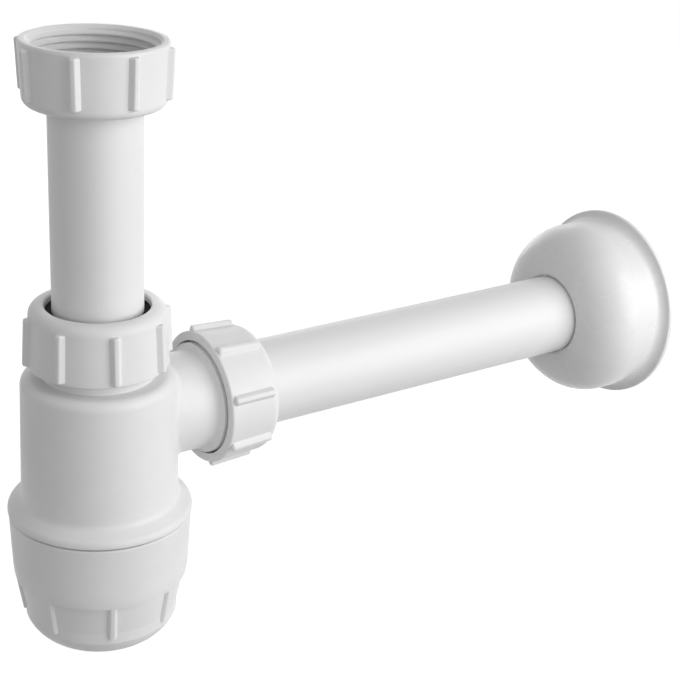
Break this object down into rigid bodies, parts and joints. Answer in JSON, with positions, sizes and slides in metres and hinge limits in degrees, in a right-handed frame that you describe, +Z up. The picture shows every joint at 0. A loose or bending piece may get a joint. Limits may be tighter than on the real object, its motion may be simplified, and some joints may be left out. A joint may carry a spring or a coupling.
{
  "type": "basin bottle trap",
  "caption": "White plastic bottle trap for a wash basin: union nut and dip pipe on top, screw-off cup, side outlet pipe with a domed wall flange.",
  "frame": {"origin": "centre of the inlet washer's top face, where the basin waste seals", "axes": "+Z up along the inlet pipe and out of the union nut's mouth, +X along the outlet pipe to the wall"},
  "size_m": [0.2944, 0.0792, 0.216],
  "materials": {
    "white_plastic": "satin",
    "black_rubber": "matte",
    "slip_ring_plastic": "matte"
  },
  "bodies": {
    "trap": {"trap_body": "white_plastic"},
    "inlet_seal": {"inlet_cone_seal": "black_rubber"},
    "tail_pipe": {"inlet_pipe": "white_plastic", "inlet_washer": "black_rubber"},
    "union_nut": {"inlet_union_nut": "white_plastic"},
    "inlet_ring": {"inlet_slip_ring": "slip_ring_plastic"},
    "inlet_nut": {"inlet_compression_nut": "white_plastic"},
    "cup_ring": {"cup_seal": "black_rubber"},
    "cup": {"cup": "white_plastic"},
    "outlet_seal": {"outlet_cone_seal": "black_rubber"},
    "outlet_tube": {"outlet_pipe": "white_plastic"},
    "flange": {"wall_flange": "white_plastic"},
    "outlet_ring": {"outlet_slip_ring": "slip_ring_plastic"},
    "outlet_nut": {"outlet_compression_nut": "white_plastic"}
  },
  "joints": [
    {"name": "inlet_swivel", "type": "hinge", "parent": "trap", "child": "inlet_seal", "pos_m": [0, 0, -0.0829], "axis": [0, 0, 1], "continuous": true},
    {"name": "pipe_height", "type": "slide", "parent": "inlet_seal", "child": "tail_pipe", "axis": [0, 0, 1], "range_m": [-0.012, 0.03]},
    {"name": "union_spin", "type": "hinge", "parent": "tail_pipe", "child": "union_nut", "pos_m": [0, 0, 0], "axis": [0, 0, 1], "continuous": true},
    {"name": "inlet_nut_travel", "type": "slide", "parent": "trap", "child": "inlet_ring", "axis": [0, 0, 1], "range_m": [0, 0.0116]},
    {"name": "inlet_nut_turn", "type": "hinge", "parent": "inlet_ring", "child": "inlet_nut", "pos_m": [0, 0, -0.0829], "axis": [0, 0, 1], "range_deg": [0, 1800]},
    {"name": "cup_travel", "type": "slide", "parent": "trap", "child": "cup_ring", "axis": [0, 0, -1], "range_m": [0, 0.0121]},
    {"name": "cup_turn", "type": "hinge", "parent": "cup_ring", "child": "cup", "pos_m": [0, 0, -0.16], "axis": [0, 0, -1], "range_deg": [0, 1440]},
    {"name": "outlet_swivel", "type": "hinge", "parent": "trap", "child": "outlet_seal", "pos_m": [0.0536, 0, -0.1195], "axis": [1, 0, 0], "continuous": true},
    {"name": "outlet_reach", "type": "slide", "parent": "outlet_seal", "child": "outlet_tube", "axis": [1, 0, 0], "range_m": [-0.0025, 0.015]},
    {"name": "flange_slide", "type": "slide", "parent": "outlet_tube", "child": "flange", "axis": [1, 0, 0], "range_m": [-0.13, 0.015]},
    {"name": "outlet_nut_travel", "type": "slide", "parent": "trap", "child": "outlet_ring", "axis": [1, 0, 0], "range_m": [0, 0.0116]},
    {"name": "outlet_nut_turn", "type": "hinge", "parent": "outlet_ring", "child": "outlet_nut", "pos_m": [0.0536, 0, -0.1195], "axis": [1, 0, 0], "range_deg": [0, 1800]}
  ],
  "couplings": [
    {"joint": "inlet_nut_travel", "follows": "inlet_nut_turn", "m_per_rad": 0.00036749},
    {"joint": "outlet_nut_travel", "follows": "outlet_nut_turn", "m_per_rad": 0.00036749},
    {"joint": "cup_travel", "follows": "cup_turn", "m_per_rad": 0.00047746}
  ]
}
